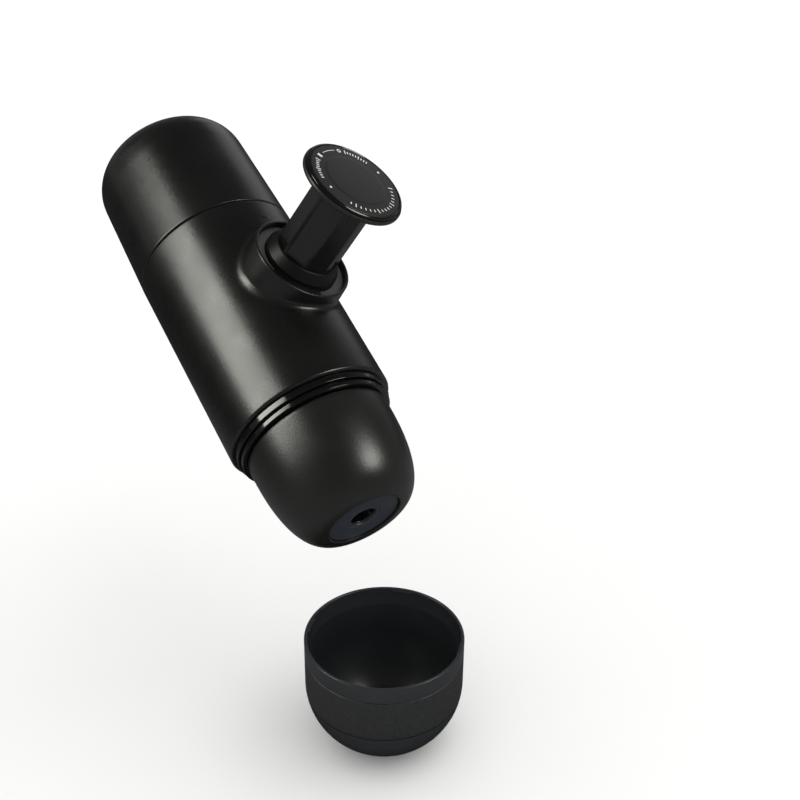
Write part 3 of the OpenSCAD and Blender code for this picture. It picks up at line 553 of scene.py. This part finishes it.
for name, sizes, about, body in (("tank_seal", (26.45, 27.33, -38.5, -37), "Z", "tank_gasket"),
                                 ("group_seal", (21.85, 25.45, 32.2, 34), "Z", "barrel"),
                                 ("head_seal", (25.67, 26.95, 37.5, 39), "Z", "head_gasket"),
                                 ("piston_seal", (4.77, 5.47, 19.65, 20.35), "X", "piston")):
    done(seal_ring(name + "_ring", *sizes, about), seal_rubber, "seal_rubber", body, name)


BILL = ((1.2, 1, 1), (1.2, 0.98, 0.8), (1.2, 0.98, 0.72), (1.2, 0.98, 0.62), (0.9, 1, 0.55), (0.75, 1, 0.96))


def duckbill(name, base, node):
    """A soft valve: a round flange with a body that flattens to a slit. Each step of the bill has its
    length, and how much narrower and flatter it ends."""
    alone()
    bpy.ops.mesh.primitive_cylinder_add(vertices=48, radius=3.15 * MM, depth=1.5 * MM,
                                        location=(VALVE_X * MM, 0, (base + 0.75) * MM))
    obj = bpy.context.object
    obj.name = name
    bpy.ops.object.transform_apply(location=True)
    pick_faces(obj, lambda at: at.z > base + 1.4)
    middle = (VALVE_X * MM, 0, 0)
    bpy.ops.mesh.inset(thickness=0.95 * MM)
    for length, wide, thick in BILL:
        bpy.ops.mesh.extrude_region_move(TRANSFORM_OT_translate={"value": (0, 0, length * MM)})
        bpy.ops.transform.resize(value=(wide, thick, 1), center_override=middle)
    bpy.ops.mesh.inset(thickness=0.12 * MM)
    bpy.ops.transform.resize(value=(1, 0.4, 1), center_override=middle)
    bpy.ops.mesh.extrude_region_move(TRANSFORM_OT_translate={"value": (0, 0, -0.8 * MM)})
    bpy.ops.object.mode_set(mode="OBJECT")
    eased(obj, 0.12)
    return done(obj, silicone, "silicone", "barrel", node)


duckbill("inlet_duckbill", SEAM + 6, "inlet_valve")
duckbill("outlet_duckbill", 17.5, "outlet_valve")

# ---- outlet head ----


def band(low, high, r):
    """A gloss band's flat side between its two rounded edges."""
    return arc(r - 0.22, low + 0.22, 0.22, -90, 0, 4) + [(r, low + 0.3), (r, high - 0.3)] + \
        arc(r - 0.22, high - 0.22, 0.22, 0, 90, 4)


neck = [(23.8, 34.3), (25.8, 34.3), (NECK_R, 34.6), (NECK_R, 36.2), (CREST_R, 36.4), (CREST_R, 37.4),
        (NECK_GROOVE, 37.4), (NECK_GROOVE, 39.1), (CREST_R, 39.1), (CREST_R, 40.1), (NECK_R, 40.3),
        (NECK_R, 44.9), (27.3, UPPER_BAND[0])]
head_line = neck + band(*UPPER_BAND) + [(27, UPPER_BAND[1]), (27, LOWER_BAND[0])] + band(*LOWER_BAND) + \
    [(24.5, LOWER_BAND[1]), (24.5, DOME_NECK), (21.9, DOME_NECK), (21.9, 35.2), (23.8, 35.2), (23.8, 34.3)]
head_ring = turned("outlet_ring", head_line)
neck_start = thread("neck_start", 25.9, CREST_R, 40.4, 43.4, 4)
joined(head_ring, neck_start, copied(neck_start, HALF_TURN))
done(head_ring, gloss_abs, "gloss_black", "head", "head_ring")


def dome_radius(z):
    """The dome's outside, a superellipse from its foot to the outlet face."""
    share = min(1, (z - DOME_START) / (DOME_END - DOME_START))
    return FACE_R + (DOME_R - FACE_R) * (1 - share ** DOME_ALONG) ** (1 / DOME_ACROSS)


def dome_curve(low, high, inset, count):
    """The dome's side, with closer steps towards the outlet face."""
    points = []
    for i in range(count + 1):
        share = 1 - (1 - i / count) ** 2
        z = low + (high - low) * share
        points.append((dome_radius(z + inset * share) - inset, z))
    return points


hollow = [point for point in dome_curve(DOME_NECK + 0.2, PLATE_Z, 2, 24) if point[1] < 81.4]
outlet_rim = [(14.45, DOME_END - 0.14), (FACE_R, DOME_END), (13.25, DOME_END), (13.05, DOME_END - 0.2),
              (13.05, PLATE_Z), (11.5, PLATE_Z), (11.5, 81.5)]
dome_line = [(24.58, DOME_START), (25.95, DOME_START), (26.15, DOME_START + 0.1)] + \
    dome_curve(DOME_START + 0.3, DOME_END - 0.25, 0, 48)[:-1] + outlet_rim + \
    list(reversed(hollow)) + [(24.58, DOME_NECK + 0.2), (24.58, DOME_START)]
dome = turned("outlet_dome", dome_line)
done(dome, dome_abs, "dome_black", "head", "head_dome")

# The disc's face, with a fine groove round the spout: radius, and height over its seat.
disc = [(SPOUT_R, 0), (PLATE_R, 0), (PLATE_R, 0.95), (PLATE_R - 0.15, 1.1), (SPOUT_R + 1.5, 1.1),
        (SPOUT_R + 1.3, 0.95), (SPOUT_R + 1.1, 0.95), (SPOUT_R + 0.9, 1.1), (SPOUT_R + 0.35, 1.1),
        (SPOUT_R + 0.1, 1), (SPOUT_R, 0.75), (SPOUT_R, 0)]
plate = turned("outlet_disc", [(r, PLATE_Z + rise) for r, rise in disc], 96)
done(plate, plate_blue, "outlet_plate", "head", "outlet_plate")
nozzle = turned("spout", [(2.2, 70), (6, 70), (6, 81.8), (11.2, 81.8), (11.2, PLATE_Z), (SPOUT_R, PLATE_Z),
                          (SPOUT_R, 80), (4.1, 79), (3.1, 78.1), (2.2, 77.6), (2.2, 70)], 96)
done(eased(nozzle, 0.15), gloss_abs, "outlet_plate", "head", "spout_nozzle")

# ---- piston ----

def flatted(obj, at):
    """Cuts the piece back to the piston's eight flats, which lie at this distance from its axis."""
    for i in range(FLATS):
        turn = radians(FIRST_FLAT + 360 / FLATS * i)
        flat = Vector((0, sin(turn), -cos(turn)))
        alone(obj)
        bpy.ops.object.mode_set(mode="EDIT")
        bpy.ops.mesh.select_all(action="SELECT")
        bpy.ops.mesh.bisect(plane_co=flat * at * MM, plane_no=flat, use_fill=True, clear_outer=True,
                            threshold=1e-6)
        bpy.ops.object.mode_set(mode="OBJECT")
    return obj


SHAFT_FOOT, STOP_LOW, STOP_HIGH, STOP_R = 25, 22.4, 25.4, 12.4
shaft = turned("fluted_shaft", [(SHAFT_BORE, SHAFT_FOOT), (SHAFT_R, SHAFT_FOOT), (SHAFT_R, KNOB_IN),
                                (SHAFT_BORE, KNOB_IN), (SHAFT_BORE, SHAFT_FOOT)], 256, about="X")
flatted(shaft, FLAT_AT)
stop = turned("shaft_stop", [(SHAFT_BORE, STOP_LOW), (STOP_R, STOP_LOW), (STOP_R, STOP_HIGH),
                             (SHAFT_BORE, STOP_HIGH), (SHAFT_BORE, STOP_LOW)], 96, about="X")
joined(shaft, eased(stop, 0.2))
done(shaft, shaft_nylon, "gloss_black", "piston", "piston_shaft", angle=8)

lower_tier = [(1.3, KNOB_IN), (13.9, KNOB_IN), (13.9, KNOB_FOOT + 0.2), (14.1, KNOB_FOOT), (14.8, KNOB_FOOT),
              (15.15, KNOB_FOOT + 0.1), (17.9, 68.5), (18.2, 68.75), (KNOB_R, 69.05), (KNOB_R, 69.8),
              (18.2, 70.02), (18.0, 70.1), (17.3, 70.1), (17.3, KNOB_STEP), (1.3, KNOB_STEP),
              (1.3, KNOB_IN)]
knob = turned("two_tier_knob", lower_tier, about="X")
done(knob, knob_abs, "knob_black", "piston", "piston_knob")
# The upper tier stands over a groove, and its edge is polished.
edge = [(16.65, KNOB_STEP), (17.3, KNOB_STEP), (17.3, 70.55), (17.65, 70.55), (17.77, 70.62),
        (17.8, 70.75), (17.77, 70.85), (17.72, 70.92), (17.45, 71.14), (17.2, 71.28), (17.1, KNOB_TOP),
        (16.95, KNOB_TOP), (16.72, 71.15), (16.65, 70.9), (16.65, KNOB_STEP)]
rim = turned("knob_rim", edge, about="X")
done(rim, gloss_abs, "knob_black", "piston")
# The face has a raised disc in its middle.
face = [(0, 71.05), (3.2, 71.05), (3.2, KNOB_STEP), (16.6, KNOB_STEP), (16.6, 71.1), (16.5, 71.22),
        (16.35, 71.28), (16.1, KNOB_TOP), (11.6, KNOB_TOP), (11.3, 71.32), (10.8, 71.43),
        (10.5, 71.45), (0, 71.45)]
cap = turned("knob_face", face, about="X")
done(cap, knob_abs, "knob_black", "piston", "knob_cap")


def mark(reach_in, reach_out, middle, span):
    """One printed mark on the knob's face: part of a thin ring, with its middle and width in degrees."""
    r_in, r_out = INK_R - reach_in, INK_R + reach_out
    outline = [(r_in, INK_LOW), (r_out, INK_LOW), (r_out, INK_TOP), (r_in, INK_TOP), (r_in, INK_LOW)]
    return turned("mark", outline, max(2, int(span / 3)), about="X",
                  span=radians(span), start=radians(middle - span / 2) + pi)


def spot(r, angle, size, hole=0.0):
    """A printed dot, or a ring where it has a hole."""
    t = radians(angle)
    outline = [(hole, INK_LOW), (size, INK_LOW), (size, INK_TOP), (hole, INK_TOP)]
    obj = turned("mark", outline + outline[:1] if hole else outline, 24, about="X")
    obj.data.transform(Matrix.Translation(Vector((0, r * sin(t), -r * cos(t))) * MM))
    return obj


# Two dots, a ring, a pill and an arc stand round the face, with three rows of ticks between them.
marks = [spot(13.9, 108, 0.45), spot(INK_R, -69, 0.45), spot(INK_R, -4, 0.8, 0.45)]
marks += [mark(0.9, 0.85, 40, 4.5), mark(0.1, 0.1, 17, 26)]
for first, last, count in ((-14, -48, 9), (52, 90, 10), (-100, -218, 17)):
    for i in range(count):
        reach = 0.55 if i % 5 else 0.9
        marks.append(mark(reach, reach, first + (last - first) * i / (count - 1), 1.5))
print_marks = joined(*marks)
print_marks.name = "face_marks"
done(print_marks, white_ink, "knob_black", "piston")

BORE_PLAY = 0.08                                # the octagonal bore's clearance round the shaft
cone = [(0, COLLAR_FOOT), (COLLAR_R, COLLAR_FOOT), (COLLAR_R, 26.2), (15, 26.2), (15, 28.4), (COLLAR_R, 28.4),
        (COLLAR_R, BOSS_TOP), (11.85, 38.1), (11.7, 38.35), (11.45, 38.6), (11.2, NOSE_TOP), (0, NOSE_TOP)]
collar = turned("lock_ring", cone, about="X")
bore_r = SHAFT_R + BORE_PLAY
bore = turned("octagon", [(0, 20), (bore_r, 20), (bore_r, 45), (0, 45)], 96, about="X")
cut(collar, flatted(bore, FLAT_AT + BORE_PLAY))
lug = turned("lug", [(LUG_IN, LUG_FOOT), (LUG_R, LUG_FOOT), (LUG_R, LUG_TOP), (LUG_IN, LUG_TOP),
                     (LUG_IN, LUG_FOOT)], 24, about="X", span=radians(LUG_SPAN),
             start=radians(LUG_TURN - LUG_SPAN / 2))
eased(lug, 0.25, 3)
joined(collar, lug, copied(lug, Matrix.Rotation(pi, 4, "X")))
done(collar, dull_abs, "gloss_black", "collar", "lock_collar", angle=25)

annulus = turned("boss_annulus", [(13.58, BOSS_SEAT), (16.85, BOSS_SEAT), (16.85, ANNULUS_TOP - 0.15),
                                  (16.7, ANNULUS_TOP), (13.7, ANNULUS_TOP), (13.58, ANNULUS_TOP - 0.12),
                                  (13.58, BOSS_SEAT)], about="X")
done(annulus, plate_abs, "boss_plate", "barrel", "boss_plate")


SPRING_FOOT, SPRING_HEAD, SPRING_R, WIRE, TURNS = -16.95, 21.85, 10.9, 1.0, 8


def coil():
    """The return spring: round wire wound on a helix, its two end turns lying close."""
    steps = 48
    close = WIRE + 0.5
    pitch = (SPRING_HEAD - SPRING_FOOT - 2 * close) / (TURNS - 2)
    alone()
    bpy.ops.mesh.primitive_circle_add(vertices=16, radius=WIRE / 2 * MM, rotation=(pi / 2, 0, 0),
                                      location=(SPRING_FOOT * MM, 0, SPRING_R * MM))
    obj = bpy.context.object
    obj.name = "return_coil"
    bpy.ops.object.transform_apply(location=True, rotation=True)
    bpy.ops.object.mode_set(mode="EDIT")
    bpy.ops.mesh.select_all(action="SELECT")
    for i in range(TURNS * steps):
        turn = (i + 0.5) / steps
        rise = (close if turn < 1 or turn > TURNS - 1 else pitch) / steps
        bpy.ops.mesh.extrude_region_move(TRANSFORM_OT_translate={"value": (rise * MM, 0, 0)})
        bpy.ops.transform.rotate(value=FULL / steps, orient_axis="X", center_override=(0, 0, 0))
    bpy.ops.mesh.select_non_manifold()
    bpy.ops.mesh.fill_holes(sides=0)
    bpy.ops.mesh.select_all(action="SELECT")
    bpy.ops.mesh.normals_make_consistent(inside=False)
    bpy.ops.object.mode_set(mode="OBJECT")
    return obj


spring = done(coil(), steel, "steel", "barrel", "return_spring", angle=60)
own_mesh(spring)

# ---- cup ----


def cup_radius(h):
    """The cup's outside: an upright wall over half an ellipse."""
    return CUP_R if h >= BOWL_H else CUP_R * sqrt(1 - ((BOWL_H - h) / BOWL_DEPTH) ** 2)


def cup_side(low, high, inset, count):
    """Points up the cup's side, some way inside its wall."""
    heights = [low + (high - low) * i / count for i in range(count + 1)]
    return [(cup_radius(h) - inset, h) for h in heights]


FOOT_RING = [(0, 0.5), (11.2, 0.5), (11.6, 0), (13.3, 0), (13.7, 0.4), (13.7, 1.1)]
SEAT, GAP, LIP = 0.7, 0.25, 0.45                # the sleeve's depth, the line round it, the lip's rounding
cup_line = FOOT_RING + cup_side(1.3, SLEEVE_LOW, 0, 28) + cup_side(SLEEVE_LOW, SLEEVE_TOP, SEAT, 14) + \
    [(CUP_R - 0.1, SLEEVE_TOP), (CUP_R, SLEEVE_TOP + 0.12)] + \
    arc(CUP_R - LIP, CUP_H - LIP, LIP, 0, 90, 5) + arc(CUP_R - 0.75, CUP_H - LIP, LIP, 90, 180, 5) + \
    [(CUP_R - 1.2, SLEEVE_TOP + 1.2)] + list(reversed(cup_side(4.5, SLEEVE_TOP, 1.9, 40))) + [(0, 3.2)]
cup = turned("cup_body", cup_line)
lug = turned("lip_lug", [(28.3, 43.1), (27.55, 43.3), (27.5, 43.5), (27.55, 43.8), (28.3, 44.0),
                         (28.3, 43.1)], 14, span=radians(16), start=radians(37))
eased(lug, 0.12)
joined(cup, lug, *[copied(lug, Matrix.Rotation(pi / 2 * i, 4, "Z")) for i in (1, 2, 3)])
done(cup, cup_pp, "cup_black", "cup", "cup_shell", place=TABLE)

low, high = SLEEVE_LOW + GAP, SLEEVE_TOP - GAP
sleeve_line = [(cup_radius(low) - 0.65, low), (cup_radius(low) - 0.2, low)] + \
    cup_side(low + 0.2, high - 0.2, 0, 24) + [(CUP_R - 0.2, high), (CUP_R - 0.65, high)] + \
    list(reversed(cup_side(low, high, 0.65, 24)))[1:]
sleeve = turned("cup_grip_sleeve", sleeve_line)
done(sleeve, sleeve_rubber, "cup_sleeve", "cup", "cup_sleeve", place=TABLE)

# ---- the inner pieces that keep their own meshes ----

for names, finish in ((("group_head", "pump_housing", "outlet_funnel"), inner_pp),
                      (("bulkhead_screws", "inlet_strainer", "pump_cylinder", "shower_screen", "screen_screw",
                        "knob_screw", "plunger_rod", "filter_basket", "basket_screen"), steel)):
    for name in names:
        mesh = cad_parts[name].data
        mesh.materials.clear()
        mesh.materials.append(finish)

# ---- floor, light and camera ----

made, tree, shader, place = material("pale_studio_floor", {"Roughness": 0.9, "Specular IOR Level": 0.0})
haze = add(tree, "ShaderNodeTexNoise", {"Vector": place, "Scale": 12.0, "Detail": 3.0})
pale = mixed(tree, haze.outputs[0], "#f4f4f3", "#f8f8f7")
# What is glossy sees the floor through a painted reflection: a dull dark tone in place of its pale colour,
# with painted shade that darkens it further towards the far left and round the cup.
mirrored = add(tree, "ShaderNodeLightPath").outputs["Is Glossy Ray"]
across = add(tree, "ShaderNodeSeparateXYZ", {0: place}).outputs[0]
# Painted shade in the reflection: darker towards the far left.
table = add(tree, "ShaderNodeMapRange", {0: across, 1: -0.25, 2: 0.0, 3: 0.03, 4: 0.2})
cup_spot = (TABLE.translation.x, TABLE.translation.y, 0)
from_cup = add(tree, "ShaderNodeVectorMath", {0: place, 1: cup_spot}, operation="DISTANCE")
# Painted shade in the reflection: darker round the cup.
cup_painted_shade = add(tree, "ShaderNodeMapRange", {0: from_cup.outputs["Value"], 1: 0.03, 2: 0.10, 3: 0.15, 4: 1.0})
dull = add(tree, "ShaderNodeMath", {0: table.outputs[0], 1: cup_painted_shade.outputs[0]}, operation="MULTIPLY")
shown = add(tree, "ShaderNodeMix", {0: mirrored, 6: pale, 7: dull.outputs[0]}, data_type="RGBA")
tree.links.new(shown.outputs[2], shader.inputs["Base Color"])
alone()
bpy.ops.mesh.primitive_plane_add(size=12, location=(0, 0, TABLE.translation.z - 0.0001))
floor = bpy.context.object
floor.name = "studio_floor"
floor.data.materials.append(made)

# The studio: white behind the maker, and in its reflections a dim grey room that is lighter low down.
world = bpy.data.worlds.new("studio")
bpy.context.scene.world = world
world.use_nodes = True
room = world.node_tree
room.nodes.clear()
towards = add(room, "ShaderNodeTexCoord").outputs["Generated"]
height = add(room, "ShaderNodeSeparateXYZ", {0: towards}).outputs[2]
glow = add(room, "ShaderNodeMapRange", {0: height, 1: -0.1, 2: 0.9, 3: 0.20, 4: 0.06})
white = add(room, "ShaderNodeBackground", {"Color": colour("#ffffff"), "Strength": 1.0})
grey = add(room, "ShaderNodeBackground", {"Color": colour("#ffffff"), "Strength": glow.outputs[0]})
glossy = add(room, "ShaderNodeLightPath").outputs["Is Glossy Ray"]
both = add(room, "ShaderNodeMixShader", {0: glossy, 1: white.outputs[0], 2: grey.outputs[0]})
add(room, "ShaderNodeOutputWorld", {"Surface": both.outputs[0]})


LAMP_AWAY = 0.9                                 # metres from the maker to each lamp


def lamp(name, azimuth, elevation, size, power, tint="#ffffff", shape="RECTANGLE"):
    """A soft light that faces the maker from a direction in degrees. It shows in what is glossy, and the
    daylight below does the rest, so that the floor stays even."""
    az, el = radians(azimuth), radians(elevation)
    towards = Vector((cos(el) * cos(az), cos(el) * sin(az), sin(el)))
    alone()
    bpy.ops.object.light_add(type="AREA", location=towards * LAMP_AWAY,
                             rotation=towards.to_track_quat("Z", "Y").to_euler())
    light = bpy.context.object
    light.name = name
    light.data.shape = shape
    light.data.size, light.data.size_y = size
    light.data.energy = power
    light.data.color = colour(tint)[:3]
    light.visible_diffuse = False
    return light


lamp("tall_softbox", -109, 34, (0.26, 0.66), 5.6, "#fbfbf2")
lamp("round_softbox", 39, 39, (0.44, 0.38), 4.0, "#fbfbf4", "ELLIPSE")
lamp("back_panel", 130, 20, (0.6, 0.4), 0.35)
alone()
from_sky = Vector((0.27, 0.42, 1.0)).to_track_quat("Z", "Y").to_euler()
bpy.ops.object.light_add(type="SUN", rotation=from_sky)
daylight = bpy.context.object
daylight.name = "daylight"
daylight.data.energy = 0.5
daylight.data.angle = radians(50)
daylight.visible_glossy = False

# The camera stands where the outlines of tank, barrel, dome, knob and cup line up with the photograph.
camera = bpy.data.cameras.new("camera")
camera.lens, camera.sensor_width, camera.clip_start = 58.168, 36, 0.01
viewer = bpy.data.objects.new("camera", camera)
bpy.context.scene.collection.objects.link(viewer)
viewer.matrix_world = Matrix(((0.530737, -0.415554, 0.73867, 0.3793168),
                              (0.847476, 0.249753, -0.46841, -0.1795391),
                              (0.010165, 0.874607, 0.484725, 0.2013799),
                              (0, 0, 0, 1)))
bpy.context.scene.camera = viewer
bpy.context.scene.view_settings.view_transform = "Standard"
